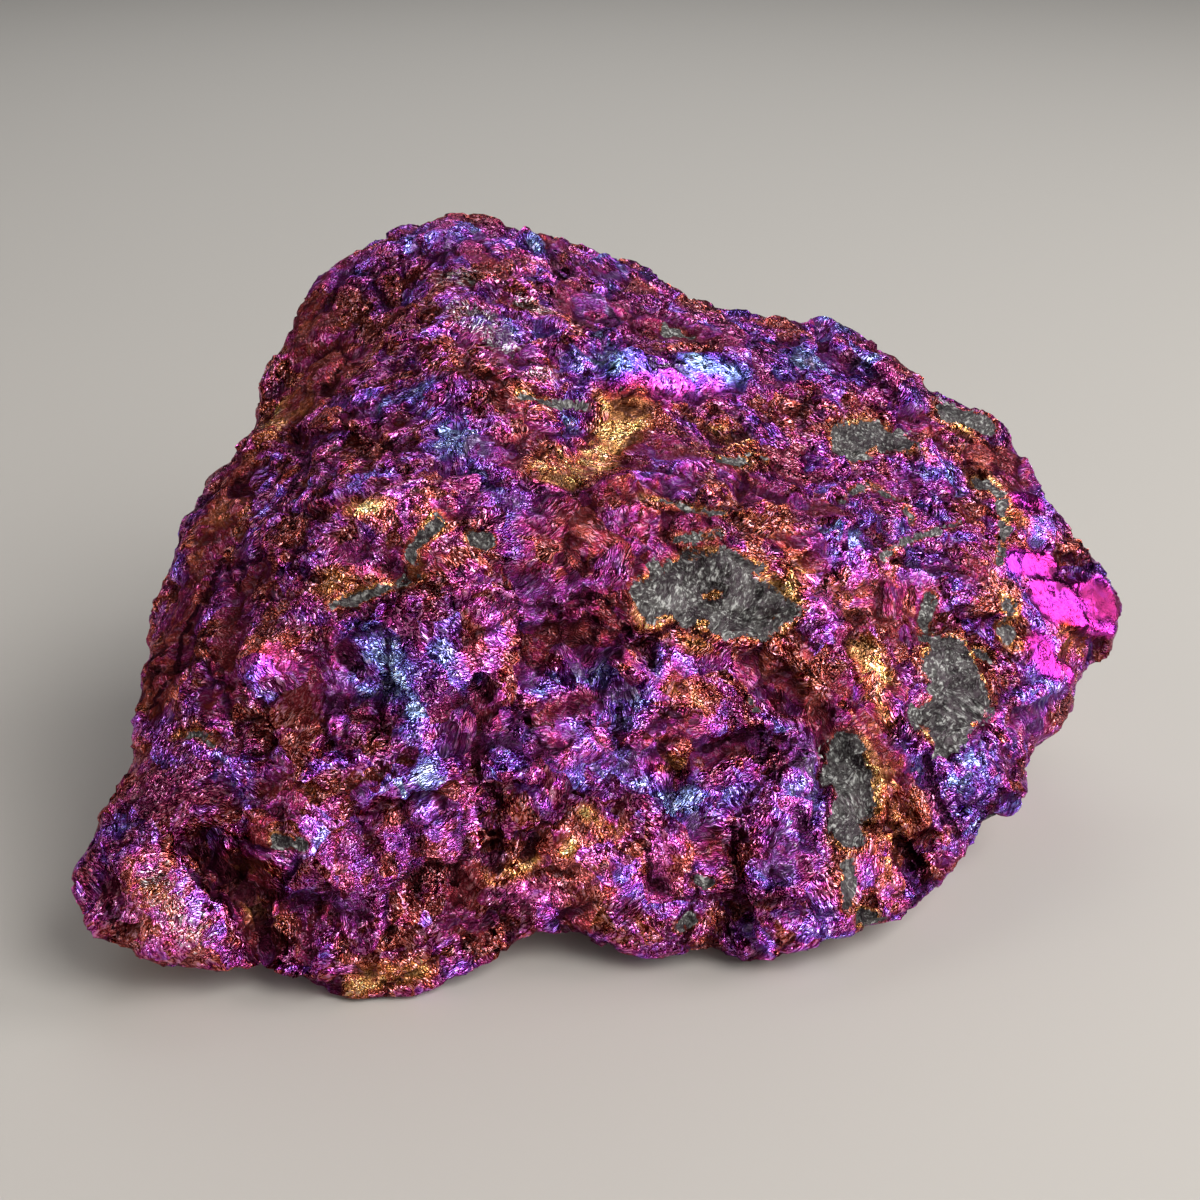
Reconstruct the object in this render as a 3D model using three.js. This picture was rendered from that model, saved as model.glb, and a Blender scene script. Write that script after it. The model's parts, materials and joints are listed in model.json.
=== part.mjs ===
// Peacock ore: one lump of tarnished bornite grown together with grey host rock, broken on every side.
// Millimetres, +Z up. The origin is at the middle of the lump's box, on the surface that it rests on.
// Seen from -Y the long tilted face is in front, the crest is behind on the left, the tip is on the right.
import * as THREE from "three";
import { ConvexHull } from "three/addons/math/ConvexHull.js";
import { ImprovedNoise } from "three/addons/math/ImprovedNoise.js";
import { mergeVertices } from "three/addons/utils/BufferGeometryUtils.js";

// Driving dimensions: the box that the finished lump fills
const LENGTH = 110;
const DEPTH = 80;
const HEIGHT = 61;

// How finely the lump is faceted, and how round the edges between its broken faces are
const FACET_DETAIL = 20;
const EDGE_SHARPNESS = 34;
const HEART = new THREE.Vector3(0, 0, 25);
const MERGE_DISTANCE = 1e-5;

// Corners where the broken faces meet, going round the lump
const CORNERS = {
  crest: [
    [-38, 29, 54], [-31, 30, 60], [-21, 32, 64], [-12, 30, 59],
    [2, 29, 50], [21, 36, 48], [32, 34, 44], [41, 32, 41],
  ],
  tipEnd: [[48, 28, 36], [52, 18, 31], [58, 9, 23], [52, 0, 12], [42, -8, 9], [46, 20, 3]],
  frontFeet: [[-19, -39, -2], [-28, -41, -2], [-37, -38, 2]],
  frontOverhang: [[34, -24, 8], [28, -32, 3], [12, -31, 4]],
  underside: [[31, -8, -2], [20, -17, -2], [2, -21, -2]],
  knobEnd: [
    [-51, -39, 7], [-59, -37, 9], [-56, -31, 16], [-53, -21, 23],
    [-51, -4, 34], [-45, 12, 43], [-42, 26, 52],
  ],
  frontRidge: [[-41, -9, 40], [-21, -16, 44], [-8, -12, 44], [8, -11, 39], [23, -8, 34], [38, -5, 26]],
  back: [
    [-40, 31, 3], [-18, 39, -1], [14, 40, -1], [40, 32, 1],
    [-16, 40, 34], [18, 41, 26], [-50, 4, 8], [-47, 18, 20],
  ],
};

// Knobs stand out of the broken faces and hollows sink into them: place, reach, and height or depth
const KNOBS = {
  crestHump: { at: [19, 29, 47], reach: 7, height: 2.2 },
  peakCap: { at: [-17, 28, 60], reach: 7, height: 1.2 },
  peakShoulder: { at: [-38, 26, 52], reach: 6, height: 2 },
  flankShoulder: { at: [-47, -1, 34], reach: 8, height: 2.2 },
  cornerKnob: { at: [-48, -37, 9], reach: 8, height: 3 },
  tipNose: { at: [55, 9, 24], reach: 4, height: 1 },
  tipBelow: { at: [49, -4, 13], reach: 5, height: 2.4 },
  tipNodule: { at: [38, -12, 11], reach: 7, height: 2 },
  bigBulge: { at: [-21, -23, 31], reach: 13, height: 1.8 },
  lowBulge: { at: [4, -24, 20], reach: 9, height: 2 },
  tongue: { at: [14, -25, 11], reach: 7, height: 1.8 },
  tipFoot: { at: [26, -30, 6], reach: 6, height: 1.5 },
  frontFoot: { at: [-29, -40, 3], reach: 7, height: 1.8 },
};
const HOLLOWS = {
  crestSlope: { at: [-5, 30, 57], reach: 5, depth: 1.6 },
  crestDip: { at: [8, 31, 51], reach: 9, depth: 2.8 },
  shoulderNotch: { at: [-40, 10, 45], reach: 6, depth: 2.4 },
  knobNeck: { at: [-50, -24, 20], reach: 7, depth: 2.8 },
  knobCrevice: { at: [-37, -38, 9], reach: 5, depth: 4 },
  frontGap: { at: [-9, -34, 1], reach: 10, depth: 7.5 },
  ledgeShade: { at: [20, -17, 20], reach: 6, depth: 2.2 },
  bulgeShade: { at: [-7, -22, 27], reach: 6, depth: 1.8 },
  goldTrough: { at: [-4, 0, 45], reach: 8, depth: 1.8 },
  tipNotch: { at: [51, 2, 18], reach: 4, depth: 2.4 },
  footNotch: { at: [34, -18, 5], reach: 4, depth: 1.8 },
  baseLeft: { at: [-16, -2, 0], reach: 15, depth: 3.4 },
  baseRight: { at: [16, 6, 0], reach: 13, depth: 3 },
  baseBack: { at: [-4, 20, 0], reach: 8, depth: 2 },
};

// Uneven breakage: wavelength and height of each layer of roughness, the first of which leaves creases
const BREAKAGE = [
  { wave: 24, height: 2.2, creased: true },
  { wave: 13, height: 1.4 },
  { wave: 7, height: 0.9 },
];
const CREASE_GAIN = 2;
const CREASE_DROP = 0.4;
const LAYER_SHIFT = 10;

// The planes of the broken faces, as outward normals and distances from the heart
function brokenFaces() {
  const points = Object.values(CORNERS).flat().map((corner) => new THREE.Vector3(...corner).sub(HEART));
  const hull = new ConvexHull().setFromPoints(points);
  return hull.faces.map((face) => ({ normal: face.normal, distance: face.constant }));
}

// Distance from the heart to the surface along a direction, with the edges between faces rounded
function reachOf(direction, faces) {
  let sum = 0;
  for (const { normal, distance } of faces) {
    sum += Math.max(0, normal.dot(direction) / distance) ** EDGE_SHARPNESS;
  }
  return sum ** (-1 / EDGE_SHARPNESS);
}

// How far the knobs and hollows move the surface at a point
function reliefAt(point) {
  let relief = 0;
  for (const { at, reach, height = 0, depth = 0 } of [...Object.values(KNOBS), ...Object.values(HOLLOWS)]) {
    const away = point.distanceTo(new THREE.Vector3(...at)) / reach;
    relief += (height - depth) * Math.exp(-away * away);
  }
  return relief;
}

// How far uneven breakage moves the surface at a point
const noise = new ImprovedNoise();
function breakageAt(point) {
  let rough = 0;
  BREAKAGE.forEach(({ wave, height, creased }, layer) => {
    const p = point.clone().divideScalar(wave).addScalar(LAYER_SHIFT * (layer + 1));
    const swell = noise.noise(p.x, p.y, p.z);
    rough += height * (creased ? CREASE_GAIN * Math.abs(swell) - CREASE_DROP : swell);
  });
  return rough;
}

// The lump: a fine ball whose points are pushed out along straight lines from the heart to the surface
function lumpGeometry() {
  const ball = new THREE.IcosahedronGeometry(1, FACET_DETAIL);
  ball.deleteAttribute("normal");
  ball.deleteAttribute("uv");
  const geometry = mergeVertices(ball, MERGE_DISTANCE);
  const faces = brokenFaces();
  const position = geometry.getAttribute("position");
  const direction = new THREE.Vector3();
  for (let i = 0; i < position.count; i++) {
    direction.fromBufferAttribute(position, i).normalize();
    const face = direction.clone().multiplyScalar(reachOf(direction, faces)).add(HEART);
    let reach = face.distanceTo(HEART) + reliefAt(face) + breakageAt(face);
    if (direction.z < 0) reach = Math.min(reach, HEART.z / -direction.z);
    const point = direction.multiplyScalar(reach).add(HEART);
    position.setXYZ(i, point.x, point.y, point.z);
  }
  return fitToBox(geometry);
}

// Brings the lump to its driving dimensions, centred over the origin with its lowest faces at Z = 0
function fitToBox(geometry) {
  geometry.computeBoundingBox();
  const { min, max } = geometry.boundingBox;
  const size = max.clone().sub(min);
  geometry.translate(-(min.x + max.x) / 2, -(min.y + max.y) / 2, -min.z);
  return geometry.scale(LENGTH / size.x, DEPTH / size.y, HEIGHT / size.z);
}

const ore = new THREE.Group();
const lump = new THREE.Mesh(
  lumpGeometry(),
  new THREE.MeshStandardMaterial({ color: 0x7a1f6e, roughness: 0.42, metalness: 0.85 }),
);
lump.name = "ore_lump";
ore.add(lump);

export default ore;
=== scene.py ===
import json
import math

import bpy
import numpy as np
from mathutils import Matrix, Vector

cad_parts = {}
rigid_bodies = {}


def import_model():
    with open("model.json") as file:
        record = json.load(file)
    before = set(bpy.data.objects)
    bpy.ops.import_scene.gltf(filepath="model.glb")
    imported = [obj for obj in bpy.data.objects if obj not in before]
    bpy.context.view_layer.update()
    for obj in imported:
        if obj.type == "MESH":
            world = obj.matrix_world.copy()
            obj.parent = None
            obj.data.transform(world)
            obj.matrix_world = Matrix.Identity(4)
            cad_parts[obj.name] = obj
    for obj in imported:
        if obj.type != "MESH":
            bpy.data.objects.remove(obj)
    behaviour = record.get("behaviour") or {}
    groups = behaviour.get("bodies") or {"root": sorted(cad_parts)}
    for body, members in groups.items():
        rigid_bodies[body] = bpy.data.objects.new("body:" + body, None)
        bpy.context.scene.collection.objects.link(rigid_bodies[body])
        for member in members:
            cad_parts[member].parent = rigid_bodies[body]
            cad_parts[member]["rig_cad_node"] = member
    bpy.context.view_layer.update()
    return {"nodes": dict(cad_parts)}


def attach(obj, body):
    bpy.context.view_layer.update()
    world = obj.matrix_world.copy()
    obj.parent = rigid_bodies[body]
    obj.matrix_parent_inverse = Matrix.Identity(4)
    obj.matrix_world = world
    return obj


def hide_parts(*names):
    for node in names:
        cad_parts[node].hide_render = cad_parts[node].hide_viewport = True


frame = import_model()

mm = 0.001

# The view of the photograph, whose pixels place the markings below
photoView = {
    "frameSize": 1200,              # pixels along each side of the square frame
    "lens": 60,                     # mm
    "sensor": 36,                   # mm
    "distance": 211 * mm,
    "elevation": 25,                # degrees above the horizon
    "middle": (-4 * mm, -6 * mm, 28 * mm),
    "nearest": 10 * mm,             # nothing closer to the camera is drawn
    "pixelStep": 8,                 # pixels between the points of a path once it lies on the stone
}


def addCamera():
    tilt = math.radians(photoView["elevation"])
    back = Vector((0, -math.cos(tilt), math.sin(tilt)))
    bpy.ops.object.camera_add(location=Vector(photoView["middle"]) + back * photoView["distance"])
    camera = bpy.context.object
    camera.rotation_euler = (math.pi / 2 - tilt, 0, 0)
    camera.data.lens = photoView["lens"]
    camera.data.sensor_width = photoView["sensor"]
    camera.data.clip_start = photoView["nearest"]
    bpy.context.scene.camera = camera
    bpy.context.view_layer.update()
    return camera


class Link:
    # An output socket in a node tree. Sums on it add Math nodes to the tree.
    def __init__(self, tree, socket=None):
        self.tree = tree
        self.socket = socket

    def node(self, kind, settings=None, sockets=None):
        made = self.tree.nodes.new(kind)
        for name, value in (settings or {}).items():
            if name == "stops":
                setStops(made.color_ramp, value)
            else:
                setattr(made, name, value)
        for name, value in (sockets or {}).items():
            if isinstance(value, Link):
                self.tree.links.new(value.socket, made.inputs[name])
            else:
                made.inputs[name].default_value = value
        return Link(self.tree, made.outputs[0] if made.outputs else None)

    def __getitem__(self, name):
        return Link(self.tree, self.socket.node.outputs[name])

    def maths(self, operation, first, second):
        return self.node("ShaderNodeMath", {"operation": operation}, {0: first, 1: second})

    def __add__(self, other):
        return self.maths("ADD", self, other)

    def __sub__(self, other):
        return self.maths("SUBTRACT", self, other)

    def __rsub__(self, other):
        return self.maths("SUBTRACT", other, self)

    def __mul__(self, other):
        return self.maths("MULTIPLY", self, other)

    __radd__ = __add__
    __rmul__ = __mul__

    def __abs__(self):
        return self.node("ShaderNodeMath", {"operation": "ABSOLUTE"}, {0: self})

    def swing(self):
        return self - 0.5           # a value from 0 to 1, as one on both sides of 0

    def less(self, share):
        return 1 - share * self     # what is left where this value takes a share away

    def atLeast(self, other):
        return self.maths("MAXIMUM", self, other)

    def smooth(self, low, high):
        settings = {"interpolation_type": "SMOOTHSTEP"}
        return self.node("ShaderNodeMapRange", settings, {"Value": self, "From Min": low, "From Max": high})

    def vector(self, operation, other):
        return self.node("ShaderNodeVectorMath", {"operation": operation}, {0: self, 1: other})

    def scaled(self, factor):
        return self.node("ShaderNodeVectorMath", {"operation": "SCALE"}, {0: self, "Scale": factor})

    def dot(self, other):
        return self.vector("DOT_PRODUCT", other)["Value"]

    def mixed(self, other, factor, blend="MIX"):
        settings = {"data_type": "RGBA", "blend_type": blend}
        return self.node("ShaderNodeMix", settings, {0: factor, 6: self, 7: other})[2]  # its colour sockets


def setStops(ramp, stops):
    while len(ramp.elements) < len(stops):
        ramp.elements.new(1)
    for element, (position, colour) in zip(ramp.elements, stops):
        element.position = position
        element.color = (*colour, 1)


# Marks of breakage in the stone: a path of photo pixels, its reach and how far the stone rises there, in mm.
# A step lifts the stone above a path that runs from left to right, and sinks it below.
# Painted shade, a dark line, runs along some paths, with its half width in mm.
stoneStrokes = {
    "slabShade": {"path": [(535, 718), (575, 706), (628, 690)], "reach": 2.2, "step": 0.8},
    "slabGroove": {"path": [(535, 712), (575, 700), (622, 686)], "reach": 1.0, "rise": -0.7},
    "middleLedge": {"path": [(612, 684), (690, 652), (735, 624)], "reach": 1.8, "step": -0.6},
    "rightLedge": {"path": [(722, 645), (775, 655), (822, 695), (850, 745)], "reach": 3.2, "step": 1.0},
    "ledgeHollow": {"path": [(760, 690), (800, 715), (832, 745)], "reach": 2.6, "rise": -0.6},
    "lowShelf": {"path": [(600, 757), (650, 752), (706, 748), (755, 735)], "reach": 2.4, "step": 1.1},
    "shelfShade": {"path": [(707, 750), (751, 738)], "reach": 1.2, "rise": -1.1, "dark": 0.6},
    "bulgeTop": {"path": [(345, 612), (405, 592), (470, 578), (512, 585)], "reach": 2.4, "step": -0.7},
    "bulgeChannel": {"path": [(520, 565), (545, 600), (540, 650), (518, 690)], "reach": 2.6, "rise": -0.7},
    "bulgeHollow": {"path": [(452, 705), (465, 730), (472, 755)], "reach": 2.4, "rise": -0.7},
    "bulgeNick": {"path": [(345, 659), (361, 676)], "reach": 0.9, "rise": -1.1, "dark": 0.6},
    "bulgeSlit": {"path": [(473, 683), (489, 699)], "reach": 0.9, "rise": -1.0, "dark": 0.6},
    "slabFoot": {"path": [(362, 812), (387, 798), (430, 792), (462, 772)], "reach": 1.8, "step": 0.9},
    "slabHead": {"path": [(375, 782), (425, 766), (452, 758)], "reach": 1.4, "step": -0.6},
    "knobCrack": {
        "path": [(572, 596), (604, 596), (633, 637), (645, 650)],
        "reach": 0.8, "rise": -0.8, "dark": 0.5,
    },
    "knobEdge": {
        "path": [(652, 665), (643, 645), (667, 628), (680, 624), (705, 635)],
        "reach": 1.0, "rise": -1.3, "dark": 0.6,
    },
    "smallKnob": {"path": [(668, 648)], "reach": 2.0, "rise": 0.9},
    "leftCrack": {
        "path": [(473, 750), (479, 779), (493, 794), (500, 812)],
        "reach": 0.7, "rise": -1.1, "dark": 0.55,
    },
    "leftCrackFoot": {
        "path": [(479, 804), (484, 820), (491, 835)],
        "reach": 0.8, "rise": -1.3, "dark": 0.6,
    },
    "leftPit": {"path": [(495, 858), (499, 868)], "reach": 1.1, "rise": -1.9, "dark": 0.8},
    "rightPit": {"path": [(536, 838), (526, 856)], "reach": 1.2, "rise": -1.8, "dark": 0.9},
    "lowMound": {"path": [(515, 900), (545, 900)], "reach": 2.8, "rise": 0.9},
    "middleCrack": {"path": [(620, 706), (614, 744), (628, 748)], "reach": 0.8, "rise": -1.2, "dark": 0.55},
    "lowCrack": {"path": [(647, 850), (650, 879), (666, 892)], "reach": 0.7, "rise": -0.9, "dark": 0.5},
    "lowRightCrack": {"path": [(727, 905), (730, 940)], "reach": 0.9, "rise": -1.2, "dark": 0.6},
    "tongueLeft": {
        "path": [(795, 738), (757, 790), (737, 815), (732, 877)],
        "reach": 1.0, "rise": -0.7, "dark": 0.5,
    },
    "tongueRight": {"path": [(824, 742), (826, 800), (834, 850)], "reach": 1.2, "rise": -0.8, "dark": 0.5},
    "tongueRidge": {"path": [(805, 750), (792, 800), (780, 860)], "reach": 2.0, "rise": 0.8},
    "knobCrevice": {
        "path": [(200, 850), (238, 880), (258, 910), (266, 945)],
        "reach": 2.0, "rise": -3.2, "dark": 0.9,
    },
    "knobFace": {"path": [(150, 880), (170, 905), (195, 930)], "reach": 3.0, "rise": 1.2},
    "knobShade": {"path": [(100, 880), (108, 905), (118, 935)], "reach": 1.6, "rise": -0.9, "dark": 0.5},
    "footStriae": {"path": [(290, 862), (296, 915), (300, 965)], "reach": 1.3, "rise": -0.7},
    "flankGroove": {
        "path": [(229, 545), (203, 595), (180, 634), (174, 662), (150, 708)],
        "reach": 1.2, "rise": -0.8, "dark": 0.5,
    },
    "flankSlab": {"path": [(158, 640), (146, 680), (141, 712)], "reach": 1.6, "rise": 0.8},
    "leftSeam": {"path": [(290, 425), (302, 460), (290, 491)], "reach": 1.4, "rise": -1.4, "dark": 0.7},
    "shoulderStep": {"path": [(262, 442), (300, 428), (345, 432)], "reach": 2.4, "step": 0.9},
    "upperFold": {"path": [(300, 470), (360, 430), (440, 395), (520, 385)], "reach": 1.8, "step": 0.6},
    "crestFold": {"path": [(560, 335), (600, 398), (660, 408), (735, 396)], "reach": 2.2, "step": 0.8},
    "ribs": {"path": [(612, 345), (606, 388)], "reach": 0.8, "rise": -0.8, "dark": 0.4},
    "ribsRight": {"path": [(628, 342), (622, 388)], "reach": 0.8, "rise": -0.8, "dark": 0.4},
    "goldLip": {"path": [(545, 490), (590, 496), (660, 486), (694, 470)], "reach": 2.0, "step": 0.9},
    "goldHollow": {"path": [(612, 420), (600, 455), (568, 476)], "reach": 2.4, "rise": -0.7},
    "beltFold": {"path": [(630, 512), (700, 520), (780, 508)], "reach": 1.8, "step": 0.6},
    "rightSlope": {"path": [(800, 560), (850, 530), (910, 520)], "reach": 1.8, "step": 0.7},
    "rightFold": {"path": [(935, 450), (962, 500), (990, 560)], "reach": 1.8, "step": -0.6},
    "noduleTop": {"path": [(920, 752), (965, 738), (1010, 708), (1060, 690)], "reach": 2.0, "step": 0.8},
    "noduleLeft": {"path": [(928, 760), (938, 800), (958, 835)], "reach": 1.2, "rise": -1.2, "dark": 0.7},
    "footGap": {"path": [(905, 850), (925, 870), (930, 890)], "reach": 1.4, "rise": -1.3, "dark": 0.8},
    "pinkMound": {"path": [(385, 510), (420, 508)], "reach": 2.2, "rise": 0.9},
    "leftMound": {"path": [(255, 662), (280, 655)], "reach": 2.4, "rise": 1.0},
    "silverMound": {"path": [(470, 310), (495, 325)], "reach": 3.0, "rise": 0.6},
}

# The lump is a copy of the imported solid, remeshed finely enough to be carved
lumpShape = {
    "name": "peacock_ore",
    "node": "ore_lump",
    "mergeGap": 0.001 * mm,
    "carvingVoxel": 0.65 * mm,
    "finishedVoxel": 0.59 * mm,
    "stepSharpness": 0.45 * mm,
    "plateSize": 11,                # mm, broken plates
    "plateLean": 0.20,
    "plateWarp": 2.2,               # mm, how far the plates wander from straight sides
    "crystalSize": 4.2,             # mm, crystals inside a plate
    "crystalLean": 0.24,
    "blockSize": 1.9,               # mm, blocks that a crystal is broken into
    "blockLean": 0.30,
    "gapWidth": 0.55,               # mm, cracks along some of the crystals
    "gapDepth": 0.55,               # mm
    "crystalWarp": (1.1, 3),        # mm, how far the crystals' sides wander, and over what length
    "blockWarp": (0.5, 1.5),        # mm, the same for the blocks
    "ripple": 0.35,                 # mm
    "crackDepth": 0.6,              # mm
    "matteSink": 0.4,               # mm, how deep the dull and shaded hollows lie
    "baseFade": 1.2,                # mm above the floor over which the relief fades in
    "rockSink": 0.35,               # mm
    "rockStep": (0.4, 0.6),         # weights of rock over which it sinks
    "rockUneven": 1.1,              # how far patches and blocks move the outline of the rock
    "rockAngular": 0.36,
    "veinWeight": 0.6,
    "hollowWeight": 0.8,
    "evenedSteps": 10,              # steps of smoothing, to find what stands out of the stone
}


def applyModifier(lump, modifier):
    bpy.context.view_layer.objects.active = lump
    bpy.ops.object.modifier_apply(modifier=modifier.name)


def remesh(lump, voxel):
    modifier = lump.modifiers.new("remesh", "REMESH")
    modifier.mode = "VOXEL"
    modifier.voxel_size = voxel
    applyModifier(lump, modifier)
    bpy.context.view_layer.update()


def copyLump():
    cadNode = frame["nodes"][lumpShape["node"]]
    bpy.ops.object.select_all(action="DESELECT")
    cadNode.select_set(True)
    bpy.context.view_layer.objects.active = cadNode
    bpy.ops.object.duplicate()
    lump = bpy.context.object
    lump.name = lumpShape["name"]
    del lump["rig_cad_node"]
    bpy.ops.object.parent_clear(type="CLEAR_KEEP_TRANSFORM")
    lump.data.materials.clear()
    bpy.ops.object.mode_set(mode="EDIT")
    bpy.ops.mesh.select_all(action="SELECT")
    bpy.ops.mesh.remove_doubles(threshold=lumpShape["mergeGap"])
    bpy.ops.object.mode_set(mode="OBJECT")
    remesh(lump, lumpShape["carvingVoxel"])
    return lump


def pointsOf(lump):
    count = len(lump.data.vertices)
    places = np.empty(count * 3, np.float32)
    normals = np.empty(count * 3, np.float32)
    lump.data.vertices.foreach_get("co", places)
    lump.data.vertex_normals.foreach_get("vector", normals)
    return places.reshape(-1, 3), normals.reshape(-1, 3)


def movePoints(lump, places):
    lump.data.vertices.foreach_set("co", places.astype(np.float32).ravel())
    lump.data.update()


def stoneUnder(lump, camera, pixel):
    half = photoView["frameSize"] / 2
    focal = photoView["frameSize"] * photoView["lens"] / photoView["sensor"]
    aim = camera.matrix_world.to_3x3() @ Vector((pixel[0] - half, half - pixel[1], -focal))
    found, place, normal, _ = lump.ray_cast(camera.location, aim.normalized())
    return (place, normal) if found else None


# Lays a path of photo pixels on the stone, as close points with their normals
def layPath(lump, camera, pixels):
    corners = np.array(pixels, float)
    pieces = [corners[:1]]
    for start, end in zip(corners, corners[1:]):
        count = max(1, round(np.linalg.norm(end - start) / photoView["pixelStep"]))
        pieces.append(start + (end - start) * np.linspace(0, 1, count + 1)[1:, None])
    hits = [stoneUnder(lump, camera, pixel) for pixel in np.concatenate(pieces)]
    laid = [hit for hit in hits if hit]
    return np.array([hit[0] for hit in laid]), np.array([hit[1] for hit in laid])


pathReaches = 3                     # a path changes the stone up to this many times its reach


# The stone's points near a path, their distances from it, and which point of it is nearest
def nearPath(places, path, reach):
    margin = pathReaches * reach
    inside = (places > path.min(axis=0) - margin) & (places < path.max(axis=0) + margin)
    near = np.flatnonzero(inside.all(axis=1))
    gaps = np.linalg.norm(places[near, None] - path[None], axis=2)
    return near, gaps.min(axis=1), gaps.argmin(axis=1)


def carve(lump, camera):
    places, normals = pointsOf(lump)
    lift = np.zeros(len(places))
    for stroke in stoneStrokes.values():
        reach = stroke["reach"] * mm
        path, facing = layPath(lump, camera, stroke["path"])
        near, gap, which = nearPath(places, path, reach)
        fade = np.exp(-(gap / reach) ** 2)
        lift[near] += stroke.get("rise", 0) * fade
        if "step" in stroke:
            upward = np.cross(facing, np.gradient(path, axis=0))
            upward /= np.linalg.norm(upward, axis=1)[:, None]
            above = ((places[near] - path[which]) * upward[which]).sum(axis=1)
            lift[near] += stroke["step"] * fade * np.tanh(above / lumpShape["stepSharpness"])
    movePoints(lump, places + normals * lift[:, None] * mm)


# Flat cleavage faces, each turned so that it mirrors one of the lights to the camera
cleavageFaces = {
    "tipFace": {
        "path": [(1052, 598), (1076, 606), (1098, 602)],
        "reach": 2.8, "light": "window", "share": 1,
    },
    "tipUpper": {"path": [(1018, 562), (1048, 566)], "reach": 1.6, "light": "window", "share": 1},
    "tipLower": {"path": [(1040, 646), (1050, 666)], "reach": 1.6, "light": "window", "share": 1},
    "tipCrown": {"path": [(1022, 498), (1034, 502)], "reach": 1.4, "light": "window", "share": 0.9},
    "tipEdge": {"path": [(1068, 674)], "reach": 1.4, "light": "window", "share": 0.9},
    "crestStreak": {
        "path": [(630, 374), (690, 378), (720, 372)],
        "reach": 2.8, "light": "window", "share": 0.6,
    },
    "leftMound": {"path": [(264, 664), (278, 659)], "reach": 1.3, "light": "key", "share": 0.45},
    "tipEnd": {"path": [(1096, 606), (1104, 624)], "reach": 1.8, "light": "window", "share": 0.9},
}
cleavageFade = 1.35                 # a cleavage face ends at this many times its reach
cleavageTurn = 0.85                 # how far it turns to its light, from 0 to 1


# Where a face must look to mirror a light to the camera
def mirrorOf(light, place):
    camera = bpy.context.scene.camera
    toCamera = (camera.location - Vector(place)).normalized()
    toLight = (Vector(studio["lights"][light]["at"]) - Vector(place)).normalized()
    return (toCamera + toLight).normalized()


def cleavageShare(gap):
    return np.clip((cleavageFade - gap) / (cleavageFade - 1), 0, 1)


def cleave(lump, camera):
    places, normals = pointsOf(lump)
    for face in cleavageFaces.values():
        reach = face["reach"] * mm
        path, _ = layPath(lump, camera, face["path"])
        middle = path.mean(axis=0)
        near, gap, _ = nearPath(places, path, reach)
        around = normals[near[gap < reach]].mean(axis=0)
        mirror = mirrorOf(face["light"], middle)
        outward = np.array(Vector(around).normalized().lerp(mirror, cleavageTurn).normalized())
        height = (places[near] - middle) @ outward
        places[near] -= (cleavageShare(gap / reach) * height)[:, None] * outward
    movePoints(lump, places)


# Adds a Geometry Nodes modifier whose tree comes from a function, and applies it
def applyNodes(lump, name, build):
    tree = bpy.data.node_groups.new(name, "GeometryNodeTree")
    tree.interface.new_socket("Geometry", in_out="INPUT", socket_type="NodeSocketGeometry")
    tree.interface.new_socket("Geometry", in_out="OUTPUT", socket_type="NodeSocketGeometry")
    stone = Link(tree).node("NodeGroupInput")
    stone.node("NodeGroupOutput", sockets={0: build(stone)})
    modifier = lump.modifiers.new(name, "NODES")
    modifier.node_group = tree
    applyModifier(lump, modifier)


# Patterns in the stone and its finish: size in mm, detail, and the values over which some of them come in
stonePatterns = {
    "ripple": {"size": 4, "detail": 4},
    "broad": {"size": 9, "detail": 1},
    "patches": {"size": 2.6, "detail": 4},
    "fine": {"size": 0.4, "detail": 3},
    "hollows": {"size": 8, "detail": 3, "range": (0.5, 0.66)},
    "openGaps": {"size": 6, "detail": 0, "range": (0.48, 0.58)},
    "seams": {"size": 12, "detail": 4, "range": (0, 0.012)},
    "seamBreaks": {"size": 9, "detail": 1, "range": (0.5, 0.6)},
    "hiddenFilm": {"size": 16, "detail": 3},
    "hiddenRock": {"size": 15, "detail": 4, "range": (0.6, 0.68)},
    "veins": {"size": 13, "detail": 5, "range": (0.004, 0.03)},
    "veinBreaks": {"size": 17, "detail": 1, "range": (0.54, 0.64)},
}


def noise(place, size, detail, rough=0.5):
    sockets = {"Vector": place, "Scale": 1 / size, "Detail": detail, "Roughness": rough}
    return place.node("ShaderNodeTexNoise", {}, sockets)


def pattern(place, name):
    made = stonePatterns[name]
    found = noise(place, made["size"], made["detail"])
    return found.smooth(*made["range"]) if "range" in made else found


# Thin lines where one pattern crosses its middle, broken by another
def brokenLines(place, name, breaks):
    made = stonePatterns[name]
    away = abs(noise(place, made["size"], made["detail"]).swing())
    return (1 - away.smooth(*made["range"])) * pattern(place, breaks)


def cells(place, size):
    return place.node("ShaderNodeTexVoronoi", {}, {"Vector": place, "Scale": 1 / size})


def part(vector, name):
    return vector.node("ShaderNodeSeparateXYZ", {}, {0: vector})[name]


def centred(colour):
    return colour.vector("SUBTRACT", (0.5, 0.5, 0.5))


def warped(place, amount, size):
    return place.vector("ADD", centred(noise(place, size, 0)["Color"]).scaled(2 * amount))


# Height of flat faces, one in each cell, that lean their own way
def leaningFaces(place, size):
    found = cells(place, size)
    return centred(found["Color"]).dot(place.vector("SUBTRACT", found["Position"]))


def placeInMm(stone):
    return stone.node("GeometryNodeInputPosition").scaled(1 / mm)


# Moves the stone along its normals by a height in mm, and keeps it above the floor
def raised(stone, height):
    height = height * part(placeInMm(stone), "Z").smooth(0, lumpShape["baseFade"])
    offset = stone.node("GeometryNodeInputNormal").scaled(height * mm)
    stone = stone.node("GeometryNodeSetPosition", {}, {"Geometry": stone, "Offset": offset})
    lowest = (-1, -1, 0)            # metres, far outside the stone except in z
    kept = stone.node("GeometryNodeInputPosition").vector("MAXIMUM", lowest)
    return stone.node("GeometryNodeSetPosition", {}, {"Geometry": stone, "Position": kept})


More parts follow.
